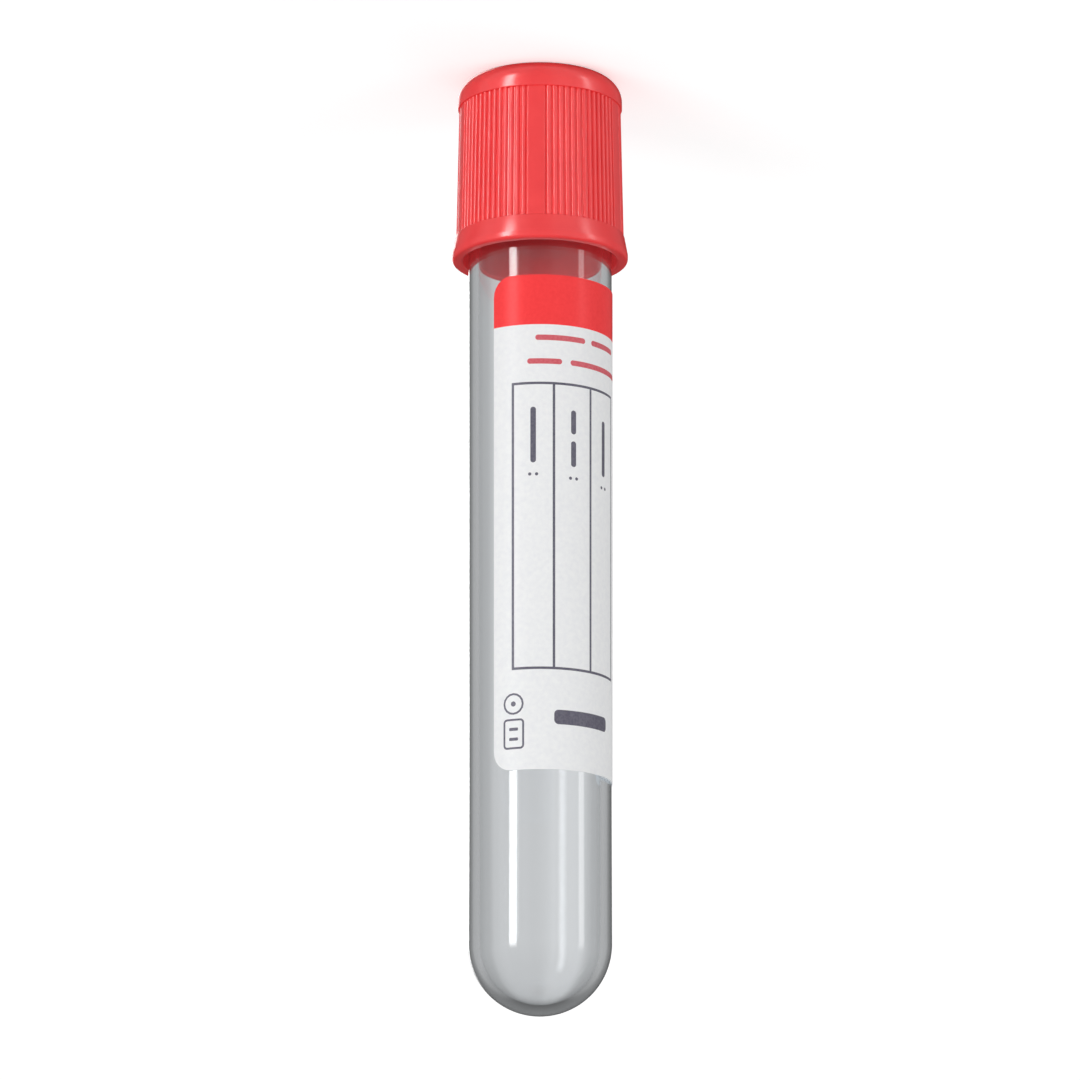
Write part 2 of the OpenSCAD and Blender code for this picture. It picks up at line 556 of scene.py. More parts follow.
@dataclass(frozen=True)
class ClearPlastic:
    """Clear moulded plastic that darkens where the light goes a long way through it.

    Sizes and depths are in millimetres. Its patches of gloss and its ripples are longer
    along the tube than across it, as moulding leaves them.
    """

    name: str = "clear_moulded_plastic"
    tint: Colour = (253, 254, 255)
    depth_tint: Colour = (120, 152, 168)
    density: float = 45.0
    ior: float = 1.575
    gloss: tuple[float, float] = (0.012, 0.04)
    gloss_size: float = 3.0
    gloss_detail: float = 3.0
    gloss_stretch: float = 4.0
    ripple: float = 9.0
    ripple_detail: float = 1.0
    ripple_stretch: float = 5.0
    ripple_depth: float = 0.0015

    def material(self) -> bpy.types.Material:
        """Builds the plastic, which lets lamps and soft light straight through.

        Returns:
            The material.
        """
        made = bpy.data.materials.new(self.name)
        made.use_nodes = True
        nodes = Nodes(made.node_tree)
        worn = nodes.noise(self.gloss_size, self.gloss_detail, self.gloss_stretch)
        waves = nodes.noise(self.ripple, self.ripple_detail, self.ripple_stretch)
        surface = nodes.add(
            "ShaderNodeBsdfPrincipled",
            {
                "Base Color": linear(self.tint),
                "Roughness": nodes.ranged(worn, *self.gloss),
                "IOR": self.ior,
                "Transmission Weight": 1.0,
                "Normal": nodes.bump(waves, 1.0, self.ripple_depth),
            },
        )
        open_way = nodes.add("ShaderNodeBsdfTransparent", {"Color": linear(self.tint)})
        rays = nodes.add("ShaderNodeLightPath")
        mixed = surface
        for ray in ("Is Shadow Ray", "Is Diffuse Ray"):
            mixed = nodes.add(
                "ShaderNodeMixShader",
                {0: rays.outputs[ray], 1: mixed.outputs[0], 2: open_way.outputs[0]},
            )
        inside = nodes.add(
            "ShaderNodeVolumeAbsorption",
            {"Color": linear(self.depth_tint), "Density": self.density},
        )
        nodes.add(
            "ShaderNodeOutputMaterial",
            {"Surface": mixed.outputs[0], "Volume": inside.outputs[0]},
        )
        return made


RED_PLASTIC = Finish(
    name="red_moulded_plastic",
    colour=(250, 64, 66),
    mottle=(244, 58, 61),
    mottle_size=3.2,
    gloss=(0.20, 0.26),
    grain=0.6,
    grain_depth=0.002,
    grain_strength=0.3,
    specular=0.8,
)
GREY_RUBBER = Finish(
    name="grey_rubber",
    colour=(112, 112, 116),
    mottle=(98, 98, 103),
    mottle_size=1.2,
    gloss=(0.55, 0.72),
    grain=0.1,
    grain_depth=0.02,
    sheen=0.15,
)
COATED_PAPER = Finish(
    name="coated_paper",
    colour=(243, 244, 244),
    mottle=(237, 238, 240),
    mottle_size=0.5,
    gloss=(0.38, 0.46),
    grain=0.07,
    grain_depth=0.005,
    specular=0.2,
)
RED_INK = Finish(
    name="red_ink",
    colour=(254, 66, 68),
    mottle=(249, 60, 63),
    mottle_size=0.4,
    gloss=(0.28, 0.34),
    grain=0.07,
    grain_depth=0.004,
    specular=0.25,
)
RED_MARKS = Finish(
    name="red_mark_ink",
    colour=(208, 88, 98),
    mottle=(218, 112, 120),
    mottle_size=0.25,
    gloss=(0.34, 0.44),
    grain=0.07,
    grain_depth=0.006,
    specular=0.2,
)
GREY_MARKS = replace(
    RED_MARKS, name="grey_mark_ink", colour=(92, 90, 104), mottle=(112, 110, 122)
)


# ---------------------------------------------------------------- pieces


def dress(
    piece: bpy.types.Object, node: str, body: Body
) -> bpy.types.Object:
    """Ties a finished piece to the frame.

    Args:
        piece: The piece, at the origin.
        node: The solid that it stands for.
        body: The body that it rides on.

    Returns:
        The piece.
    """
    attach(piece, body.value)
    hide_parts(node)
    log.info(
        "%s: %d faces, on %s, for %s",
        piece.name,
        len(piece.data.polygons),
        body.value,
        node,
    )
    return piece


@dataclass
class ClearTube:
    """The clear tube: a straight mouth, a drafted wall and a round end."""

    span: Span = field(default_factory=lambda: Span.of("tube_body"))
    wall: float = 1.1
    mouth_len: float = 11.0
    draft: float = 0.2
    end_len: float = 16.0
    end_wall: float = 1.2
    rim_fillet: float = 0.22
    segments: int = 384
    dome_steps: int = 36

    @property
    def end_radius(self) -> float:
        """Outside radius of the round end."""
        return self.span.radius - self.draft

    @property
    def dome_z(self) -> float:
        """Height of the middle of the round end."""
        return self.span.high - self.end_radius

    def outer_radius(self, z: float) -> float:
        """Works out the outside radius of the straight or drafted wall.

        Args:
            z: Height at which it is wanted.

        Returns:
            The radius.
        """
        start = self.span.low + self.mouth_len
        end = self.dome_z - self.end_len
        share = min(max((z - start) / (end - start), 0.0), 1.0)
        return self.span.radius - self.draft * share

    def section(self) -> list[Point]:
        """Draws the wall from the outer tip down to the rim and up inside.

        Returns:
            The section's points.
        """
        rim, mouth = self.span.low, self.span.low + self.mouth_len
        bore = self.span.radius - self.wall
        hollow = self.end_radius - self.end_wall
        dome = (0.0, self.dome_z)
        line = Outline().arc(dome, self.end_radius, 90, 0, self.dome_steps)
        line.to(self.end_radius, self.dome_z - self.end_len)
        line.to(self.span.radius, mouth)
        line.to(self.span.radius, rim, self.rim_fillet)
        line.to(bore, rim, self.rim_fillet)
        line.to(bore, mouth)
        line.arc(dome, hollow, 0, 90, self.dome_steps)
        return line.points(closed=False)

    def build(self) -> bpy.types.Object:
        """Makes the tube and dresses it.

        Returns:
            The tube.
        """
        mesh = turned_mesh("clear_tube", self.section(), self.segments, closed=False)
        mesh.materials.append(ClearPlastic().material())
        piece = placed("clear_tube", mesh)
        return dress(piece, "tube_body", Body.TUBE)


@dataclass
class RubberStopper:
    """The rubber stopper: a grooved head with a needle well, and a hollow plug."""

    span: Span = field(default_factory=lambda: Span.of("rubber_stopper"))
    head: float = 4.6
    head_fillet: float = 1.0
    groove_z: float = 2.3
    groove_ring: float = 8.3
    groove_radius: float = 0.4
    core: float = 6.56
    seal: float = 6.86
    seal_radius: float = 0.9
    seal_heights: tuple[float, float] = (1.88, 5.82)
    lead: float = 0.8
    well: Point = (3.2, 1.5)
    hollow_radius: float = 4.0
    hollow_start: float = 5.7
    hollow_fillet: float = 0.5
    rim_fillet: float = 0.25
    lead_fillet: float = 0.3
    core_fillet: float = 0.15
    ledge_fillet: float = 0.12
    well_fillets: tuple[float, float] = (0.15, 0.3)
    seal_steps: int = 10
    groove_steps: int = 8
    segments: int = 128

    def section(self) -> list[Point]:
        """Draws the stopper from the hollow out, down its side and in to the well.

        Returns:
            The section's points.
        """
        foot = self.span.low
        rim = foot + self.head
        top = self.span.high
        hollow = foot + self.hollow_start
        bend = self.hollow_radius / 2
        line = Outline().to(0, hollow).to(bend, hollow, self.hollow_fillet)
        line.to(self.hollow_radius, hollow + bend, self.hollow_fillet)
        line.to(self.hollow_radius, top, self.rim_fillet)
        line.to(self.core - self.lead / 2, top, self.rim_fillet)
        line.to(self.core, top - self.lead, self.lead_fillet)
        middle = self.seal - self.seal_radius
        swing = math.degrees(math.acos((self.core - middle) / self.seal_radius))
        for height in reversed(self.seal_heights):
            seal = (middle, rim + height)
            line.arc(seal, self.seal_radius, swing, -swing, self.seal_steps)
        line.to(self.core, rim, self.core_fillet)
        line.to(self.span.radius, rim, self.ledge_fillet)
        depth = self.groove_ring - self.span.radius
        swing = math.degrees(math.acos(depth / self.groove_radius))
        groove = (self.groove_ring, foot + self.groove_z)
        start, end = 180 - swing, 180 + swing
        line.arc(groove, self.groove_radius, start, end, self.groove_steps)
        line.to(self.span.radius, foot, self.head_fillet)
        edge, corner = self.well_fillets
        line.to(self.well[0], foot, edge).to(self.well[0], foot + self.well[1], corner)
        line.to(0, foot + self.well[1])
        return line.points(closed=False)

    def build(self) -> bpy.types.Object:
        """Makes the stopper and dresses it.

        Returns:
            The stopper.
        """
        section = self.section()
        mesh = turned_mesh("rubber_stopper_head", section, self.segments, closed=False)
        mesh.materials.append(GREY_RUBBER.material())
        piece = placed("rubber_plug", mesh)
        return dress(piece, "rubber_stopper", Body.CLOSURE)


class RingOfBars:
    """A Geometry Nodes tree that sets copies of a bar round the cap's wall.

    The bars stand in equal panels. One panel can be left without bars.
    """

    def __init__(self) -> None:
        """Builds the tree."""
        self.tree = bpy.data.node_groups.new("ring_of_bars", "GeometryNodeTree")
        self.tree.is_modifier = True
        face = self.tree.interface
        face.new_socket("Wall", in_out="INPUT", socket_type="NodeSocketGeometry")
        for name, kind in (
            ("Bar", "Object"),
            ("Panels", "Int"),
            ("Bars per Panel", "Int"),
            ("Bare Panel", "Int"),
            ("First Angle", "Float"),
            ("Pitch", "Float"),
            ("Finish", "Material"),
        ):
            face.new_socket(name, in_out="INPUT", socket_type=f"NodeSocket{kind}")
        face.new_socket("Wall", in_out="OUTPUT", socket_type="NodeSocketGeometry")
        self._fill()

    def _fill(self) -> None:
        """Adds the nodes: points, their angles, the copies and the finish."""
        nodes = Nodes(self.tree)
        given = nodes.add("NodeGroupInput").outputs
        panels, bars = given["Panels"], given["Bars per Panel"]
        count = nodes.count("MULTIPLY", panels, bars)
        points = nodes.add("GeometryNodePoints", {"Count": count})
        number = nodes.add("GeometryNodeInputIndex").outputs[0]
        panel = nodes.count("DIVIDE_FLOOR", number, bars)
        place = nodes.count("MODULO", number, bars)
        middle = nodes.calc("DIVIDE", nodes.calc("SUBTRACT", bars, 1.0), 2.0)
        offset = nodes.calc("SUBTRACT", place, middle)
        sector = nodes.calc("DIVIDE", FULL_TURN, panels)
        start = nodes.calc(
            "ADD", given["First Angle"], nodes.calc("MULTIPLY", panel, sector)
        )
        angle = nodes.calc("ADD", start, nodes.calc("MULTIPLY", offset, given["Pitch"]))
        filled = nodes.add(
            "FunctionNodeCompare",
            {2: panel, 3: given["Bare Panel"]},
            data_type="INT",
            operation="NOT_EQUAL",
        )
        bar = nodes.add("GeometryNodeObjectInfo", {"Object": given["Bar"]})
        turn = nodes.add("ShaderNodeCombineXYZ", {"Z": angle})
        copies = nodes.add(
            "GeometryNodeInstanceOnPoints",
            {
                "Points": points.outputs[0],
                "Selection": filled.outputs[0],
                "Instance": bar.outputs["Geometry"],
                "Rotation": turn.outputs[0],
            },
        )
        joined = nodes.add("GeometryNodeJoinGeometry")
        for source in (given["Wall"], copies.outputs[0]):
            self.tree.links.new(source, joined.inputs[0])
        real = nodes.add("GeometryNodeRealizeInstances", {0: joined.outputs[0]})
        done = nodes.add(
            "GeometryNodeSetMaterial",
            {"Geometry": real.outputs[0], "Material": given["Finish"]},
        )
        nodes.add("NodeGroupOutput", {0: done.outputs[0]})

    def apply(self, wall: bpy.types.Object, name: str, **values: object) -> None:
        """Adds the tree to the wall as a modifier.

        Args:
            wall: The object that gains the bars.
            name: Name of the modifier.
            **values: The tree's inputs, with _ for each space in a name.
        """
        modifier = wall.modifiers.new(name, "NODES")
        modifier.node_group = self.tree
        sockets = {
            s.name: s.identifier
            for s in self.tree.interface.items_tree
            if s.in_out == "INPUT"
        }
        for key, value in values.items():
            modifier[sockets[key.replace("_", " ")]] = value


def baked(piece: bpy.types.Object) -> bpy.types.Object:
    """Turns a piece's modifiers into a plain mesh.

    Args:
        piece: The piece with its modifiers.

    Returns:
        The same piece, with the result as its mesh and no modifiers.
    """
    bpy.context.view_layer.update()
    evaluated = piece.evaluated_get(bpy.context.evaluated_depsgraph_get())
    mesh = bpy.data.meshes.new_from_object(evaluated)
    piece.modifiers.clear()
    piece.data = mesh
    mesh.name = piece.name
    return piece


@dataclass
class RibbedCap:
    """The red cap: a shoulder, ribbed panels with flat strips between, and a skirt."""

    span: Span = field(default_factory=lambda: Span.of("safety_cap"))
    flange: float = 1.4
    port: float = 4.0
    port_chamfer: float = 0.4
    seat: float = 8.2
    seat_end: float = 9.0
    ring_radius: float = 9.2
    ring_height: float = 3.3
    shoulder: float = 2.4
    inner_shoulder: float = 1.0
    bead: tuple[float, float, float] = (8.3, 3.7, 0.35)
    panel_step: float = 0.15
    flare: float = 0.3
    band_height: float = 2.8
    band_step: float = 0.08
    edge_height: float = 0.8
    edge_fillet: float = 0.45
    slope_fillet: float = 0.4
    outer_fillet: float = 0.12
    inner_fillet: float = 0.1
    mouth_fillet: float = 0.25
    skirt_wall: float = 1.2
    panels: int = 5
    bare_panel: int = 2
    panel_gap: float = 2.0
    ribs: int = 13
    rib_pitch: float = 4.5
    rib_width: float = 0.6
    rib_height: float = 0.24
    strip_width: float = 2.0
    strip_fillet: float = 0.14
    line_width: float = 0.4
    line_drop: float = 0.1
    turn: float = 2.8
    sunk: float = 0.2
    segments: int = 320
    shoulder_steps: int = 16
    bead_steps: int = 8
    rib_steps: int = 14
    line_steps: int = 10
    panel_steps: int = 48

    @property
    def tip(self) -> float:
        """Radius over the rib tops, next to the smooth ring."""
        return self.ring_radius - self.panel_step

    @property
    def band_z(self) -> float:
        """Height at which the skirt's band starts."""
        return self.span.high - self.band_height

    @property
    def front(self) -> float:
        """Angle of the front strip, in degrees."""
        return self.turn - 90

    @property
    def sector(self) -> float:
        """Angle of one panel with one strip, in degrees."""
        return 360 / self.panels

    def section(self) -> list[Point]:
        """Draws the cap's wall as a loop: down outside, in, up inside and out.

        Returns:
            The section's points.
        """
        high = self.span.high
        root = self.tip - self.rib_height
        band = self.tip + self.flare + self.band_step
        line = Outline().to(self.span.radius, high, self.edge_fillet)
        line.to(self.span.radius, high - self.edge_height, self.slope_fillet)
        line.to(band, self.band_z, self.outer_fillet)
        line.to(root + self.flare, self.band_z, self.inner_fillet)
        line.to(root, self.ring_height, self.inner_fillet)
        line.to(self.ring_radius, self.ring_height, self.inner_fillet)
        centre = (self.ring_radius - self.shoulder, self.shoulder)
        line.arc(centre, self.shoulder, 0, -90, self.shoulder_steps)
        line.to(self.port + self.port_chamfer, 0, self.outer_fillet)
        line.to(self.port, self.port_chamfer, self.outer_fillet)
        line.to(self.port, self.flange, self.inner_fillet)
        line.to(self.seat, self.flange, self.inner_shoulder)
        ring, height, radius = self.bead
        swing = math.degrees(math.acos((ring - self.seat) / radius))
        line.arc((ring, height), radius, 180 + swing, 180 - swing, self.bead_steps)
        line.to(self.seat, self.seat_end)
        line.to(self.span.radius - self.skirt_wall, high, self.mouth_fillet)
        return line.points(closed=True)

    def along_wall(self, depth: float, steps: int = 4) -> list[Matrix]:
        """Places sections along the sloping wall, at angle 0.

        Args:
            depth: How far the sections' origin lies below the rib tops.
            steps: Number of stretches.

        Returns:
            The places. A section's x axis points outwards.
        """
        start = self.ring_height - self.sunk
        end = self.band_z + self.sunk
        rise = self.flare / (self.band_z - self.ring_height)
        places = []
        for i in range(steps + 1):
            z = start + (end - start) * i / steps
            out = self.tip - depth + (z - self.ring_height) * rise
            places.append(Matrix.Translation((out, 0.0, z)))
        return places

    def round_bar(
        self, name: str, width: float, depth: float, steps: int
    ) -> bpy.types.Object:
        """Makes a half-round bar with a root on each side.

        Args:
            name: Name of the bar.
            width: Width of the bar.
            depth: How far the middle of its round lies below the rib tops.
            steps: Chords in its round.

        Returns:
            The bar.
        """
        half = width / 2
        line = Outline().to(-half, -half).arc((0.0, 0.0), half, -90, 90, steps)
        return swept_bar(name, line.to(-half, half), self.along_wall(depth))

    def strip(self) -> bpy.types.Object:
        """Makes one flat strip.

        Returns:
            The strip.
        """
        half = self.strip_width / 2
        depth = self.rib_height + self.sunk
        line = Outline().to(-depth, -half).to(0.0, -half, self.strip_fillet)
        line.to(0.0, half, self.strip_fillet).to(-depth, half)
        drop = self.tip - math.sqrt(self.tip**2 - half**2)
        return swept_bar("strip", line, self.along_wall(drop))

    def smooth_panel(self) -> bpy.types.Object:
        """Makes the smooth rear panel, which follows the wall.

        Returns:
            The panel.
        """
        strip = 2 * math.degrees(math.asin(self.strip_width / 2 / self.tip))
        half = (self.sector - strip - self.panel_gap) / 2
        depth, steps = self.rib_height + self.sunk, self.panel_steps
        middle = (0.0, 0.0)
        rings = []
        for place in self.along_wall(0.0, 1):
            out, z = place.translation.x, place.translation.z
            line = Outline().arc(middle, out, -half, half, steps, self.strip_fillet)
            line.arc(middle, out - depth, half, -half, steps)
            rings.append([Vector((x, y, z)) for x, y in line.points(closed=True)])
        return placed("smooth_panel", lofted_mesh("smooth_panel", rings))

    def bars(self) -> dict[str, bpy.types.Object]:
        """Makes one bar of each kind.

        Returns:
            The bars by the name of their ring.
        """
        rib = self.rib_width
        return {
            "ribs": self.round_bar("rib", rib, rib / 2, self.rib_steps),
            "strips": self.strip(),
            "smooth_panel": self.smooth_panel(),
            "raised_line": self.round_bar(
                "raised_line", self.line_width, self.line_drop, self.line_steps
            ),
        }

    def build(self) -> bpy.types.Object:
        """Makes the cap with all its bars and dresses it.

        Returns:
            The cap.
        """
        finish = RED_PLASTIC.material()
        mesh = turned_mesh("ribbed_cap", self.section(), self.segments, closed=True)
        cap = placed("ribbed_cap", mesh)
        ring, bars = RingOfBars(), self.bars()
        front, sector = math.radians(self.front), math.radians(self.sector)
        middle = front + sector / 2
        rear = middle + self.bare_panel * sector
        pitch = math.radians(self.rib_pitch)
        for name, panels, count, bare, first in (
            ("ribs", self.panels, self.ribs, self.bare_panel, middle),
            ("strips", self.panels, 1, NO_PANEL, front),
            ("smooth_panel", 1, 1, NO_PANEL, rear),
            ("raised_line", 1, 1, NO_PANEL, rear),
        ):
            ring.apply(
                cap,
                name,
                Bar=bars[name],
                Panels=panels,
                Bars_per_Panel=count,
                Bare_Panel=bare,
                First_Angle=first,
                Pitch=pitch,
                Finish=finish,
            )
        baked(cap)
        for bar in bars.values():
            bpy.data.objects.remove(bar)
        return dress(cap, "safety_cap", Body.CLOSURE)


def rounded(box: Box, fillet: float = 0.0) -> list[Point]:
    """Draws a printed rectangle.

    Args:
        box: Its left, top, right and bottom edges.
        fillet: Radius of its corners.

    Returns:
        The outline's points.
    """
    left, top, right, bottom = box
    line = Outline().to(left, top, fillet).to(right, top, fillet)
    line.to(right, bottom, fillet).to(left, bottom, fillet)
    return line.points(closed=True, steps=PRINT_STEPS)


def disc(middle: Point, radius: float, sides: int) -> list[Point]:
    """Draws a printed disc.

    Args:
        middle: Its middle.
        radius: Its radius.
        sides: Chords round it.

    Returns:
        The outline's points.
    """
    last = 360 - 360 / sides
    return Outline().arc(middle, radius, 0, last, sides - 1).points(closed=True)


@dataclass(frozen=True)
class FootMarks:
    """A ring, a frame and a plain bar below the label's ruled box."""

    line: float = 0.22
    ring: Point = (2.5, 48.3)
    ring_radius: float = 1.2
    ring_sides: int = 16
    dot_radius: float = 0.3
    dot_sides: int = 8
    frame: Box = (1.3, 49.95, 3.75, 53.3)
    frame_corner: float = 0.45
    inner_bars: tuple[float, float] = (51.1, 52.2)
    inner_bar: Box = (2.0, -0.17, 3.05, 0.17)
    inner_corner: float = 0.1
    bar: Box = (7.1, 49.0, 14.6, 50.6)
    bar_corner: float = 0.5

    def patches(self) -> list[Patch]:
        """Draws the marks.

        Returns:
            The patches. The insides come first, because they lie on top.
        """
        made = [(Print.GREY_MARK, disc(self.ring, self.dot_radius, self.dot_sides))]
        left, top, right, bottom = self.inner_bar
        for y in self.inner_bars:
            bar = rounded((left, y + top, right, y + bottom), self.inner_corner)
            made.append((Print.GREY_MARK, bar))
        left, top, right, bottom = self.frame
        for kind, inset in ((Print.PAPER, self.line), (Print.GREY_MARK, 0.0)):
            reach = self.ring_radius - inset
            made.append((kind, disc(self.ring, reach, self.ring_sides)))
            inner = (left + inset, top + inset, right - inset, bottom - inset)
            made.append((kind, rounded(inner, self.frame_corner - inset)))
        made.append((Print.GREY_MARK, rounded(self.bar, self.bar_corner)))
        return made


@dataclass
class PrintedLabel:
    """The paper label: a red band, a ruled box and plain bars in place of its print.

    Places on the label are (across, down) from its corner beside the cap. The heading
    bars are given as their starts and ends below the box's top.
    """

    tube: ClearTube
    span: Span = field(default_factory=lambda: Span.of("paper_label"))
    width: float = 21.5
    thickness: float = 0.1
    corner: float = 2.2
    turn: float = 37.0
    lift: float = 0.025
    strips: int = 60
    overrun: float = 1.0
    band: float = 5.7
    rule: float = 0.28
    bar: float = 0.62
    box_top: float = 12.4
    box_length: float = 32.0
    box_left: float = 2.45
    column: float = 4.62
    columns: int = 3
    heading_bars: tuple[tuple[Point, ...], ...] = (
        ((2.7, 9.0),),
        ((2.9, 5.6), (6.4, 9.3)),
        ((3.3, 9.6),),
    )
    dot_half: float = 0.18
    dot_fillet: float = 0.17
    dot_aside: float = 0.38
    dot_gap: float = 1.3
    title_bars: tuple[Stroke, ...] = (
        ((5.0, 7.2), (10.9, 7.2)),
        ((11.8, 7.2), (16.5, 7.2)),
        ((4.1, 9.9), (8.0, 9.9)),
        ((9.0, 9.9), (17.7, 9.9)),
    )
    margin_bars: tuple[Stroke, ...] = (
        ((18.9, 15.0), (18.9, 27.0)),
        ((18.9, 31.0), (18.9, 40.0)),
    )

    @property
    def length(self) -> float:
        """Length of the label along the tube."""
        return self.span.high - self.span.low

    def stroke(self, start: Point, end: Point) -> list[Point]:
        """Draws one plain bar with round ends.

        Args:
            start: Middle of its first end.
            end: Middle of its last end, straight across or down from the first.

        Returns:
            The outline's points.
        """
        half = self.bar / 2
        across = half if start[0] == end[0] else 0.0
        down = half - across
        box = (start[0] - across, start[1] - down, end[0] + across, end[1] + down)
        return rounded(box, half)

    def rules(self) -> list[list[Point]]:
        """Draws the lines of the ruled box.

        Returns:
            The outline of each line.
        """
        half = self.rule / 2
        left, top = self.box_left, self.box_top
        right = left + self.columns * self.column
        bottom = top + self.box_length
        made = []
        for i in range(self.columns + 1):
            x = left + i * self.column
            made.append(rounded((x - half, top - half, x + half, bottom + half)))
        for y in (top, bottom):
            made.append(rounded((left - half, y - half, right + half, y + half)))
        return made

    def headings(self) -> list[list[Point]]:
        """Draws plain bars and two dots at the head of each column.

        Returns:
            The outline of each bar and dot.
        """
        made = []
        for i, bars in enumerate(self.heading_bars):
            x = self.box_left + (i + 0.5) * self.column
            ends = [(self.box_top + start, self.box_top + end) for start, end in bars]
            made += [self.stroke((x, start), (x, end)) for start, end in ends]
            y, half = ends[-1][1] + self.dot_gap, self.dot_half
            for dot in (x - self.dot_aside, x + self.dot_aside):
                box = (dot - half, y - half, dot + half, y + half)
                made.append(rounded(box, self.dot_fillet))
        return made

    def patches(self) -> list[Patch]:
        """Lists all print, topmost first.

        Returns:
            What each patch is printed in, and its outline.
        """
        grey = self.rules() + self.headings()
        grey += [self.stroke(*bar) for bar in self.margin_bars]
        made = [(Print.GREY_MARK, line) for line in grey]
        made += FootMarks().patches()
        made += [(Print.RED_MARK, self.stroke(*bar)) for bar in self.title_bars]
        over = self.overrun
        band = rounded((-over, -over, self.width + over, self.band))
        return made + [(Print.RED_FIELD, band)]

    def flat(self) -> tuple[list[Point], list[tuple[tuple[int, ...], Print]]]:
        """Cuts the flat label into triangles along every printed edge.

        Returns:
            The points, and the triangles with what covers each.
        """
        outline = rounded((0, 0, self.width, self.length), self.corner)
        patches = self.patches()
        points: list[Point] = []
        loops: list[list[int]] = []
        for loop in [outline] + [line for _, line in patches]:
            loops.append(list(range(len(points), len(points) + len(loop))))
            points += loop
        edges = []
        for i in range(1, self.strips):
            x = self.width * i / self.strips
            edges.append((len(points), len(points) + 1))
            points += [(x, -self.overrun), (x, self.length + self.overrun)]
        places = [Vector(point) for point in points]
        cut = delaunay_2d_cdt(places, edges, loops, 0, CUT_TOLERANCE)
        flat_points, _, faces, _, _, origins = cut
        covered = []
        for face, origin in zip(faces, origins):
            if 0 not in origin:
                continue
            top = min((i for i in origin if i), default=0)
            kind = patches[top - 1][0] if top else Print.PAPER
            covered.append((tuple(face), kind))
        return [(p.x, p.y) for p in flat_points], covered

    def wrapped(self, place: Point, height: float) -> Vector:
        """Finds where a point of the flat label lies on the tube.

        Args:
            place: Across and down the label.
            height: Distance from the tube's wall.

        Returns:
            The place, in metres.
        """
        reach = self.tube.span.radius + self.thickness
        angle = math.radians(self.turn) + (place[0] - self.width / 2) / reach
        z = self.span.low + place[1]
        radius = self.tube.outer_radius(z) + height
        return Vector((-math.sin(angle) * radius, -math.cos(angle) * radius, z)) * MM

    def mesh(self) -> bpy.types.Mesh:
        """Makes the label as a thin closed sheet.

        Returns:
            The mesh, in metres, with the number of its finish on every face.
        """
        flat, triangles = self.flat()
        used = sorted({i for face, _ in triangles for i in face})
        number = {old: new for new, old in enumerate(used)}
        count = len(used)
        points = [self.wrapped(flat[i], self.thickness) for i in used]
        points += [self.wrapped(flat[i], self.lift) for i in used]
        faces: list[tuple[int, ...]] = []
        kinds: list[Print] = []
        sides: dict[tuple[int, int], tuple[int, int]] = {}
        for face, kind in triangles:
            a, b, c = (number[i] for i in face)
            faces += [(c, b, a), (a + count, b + count, c + count)]
            kinds += [kind, Print.PAPER]
            for first, second in ((c, b), (b, a), (a, c)):
                if (second, first) in sides:
                    del sides[second, first]
                else:
                    sides[first, second] = (first, second)
        for first, second in sides:
            faces.append((second, first, first + count, second + count))
            kinds.append(Print.PAPER)
        made = bpy.data.meshes.new("printed_label")
        made.from_pydata(points, [], faces)
        made.polygons.foreach_set("material_index", [kind.value for kind in kinds])
        return shaded(made)

    def build(self) -> bpy.types.Object:
        """Makes the label and dresses it.

        Returns:
            The label.
        """
        mesh = self.mesh()
        for finish in (COATED_PAPER, RED_INK, RED_MARKS, GREY_MARKS):
            mesh.materials.append(finish.material())
        piece = placed("printed_label", mesh)
        return dress(piece, "paper_label", Body.TUBE)


# ---------------------------------------------------------------- studio


@dataclass(frozen=True)
class Card:
    """A tall card that only shows in gloss or through the clear plastic.

    The azimuth, the width and the heights of both ends are in degrees, the azimuth from
    the front towards +X and the heights from the level. A bright card adds its level to
    the studio's own, and a dark one takes its share off.
    """

    azimuth: float
    width: float
    level: float
    foot: float = -STRAIGHT_UP
    head: float = STRAIGHT_UP


@dataclass(frozen=True)
class Surround:
    """What gloss or clear plastic sees of the studio."""

    level: float
    bright: tuple[Card, ...]
    dark: tuple[Card, ...]


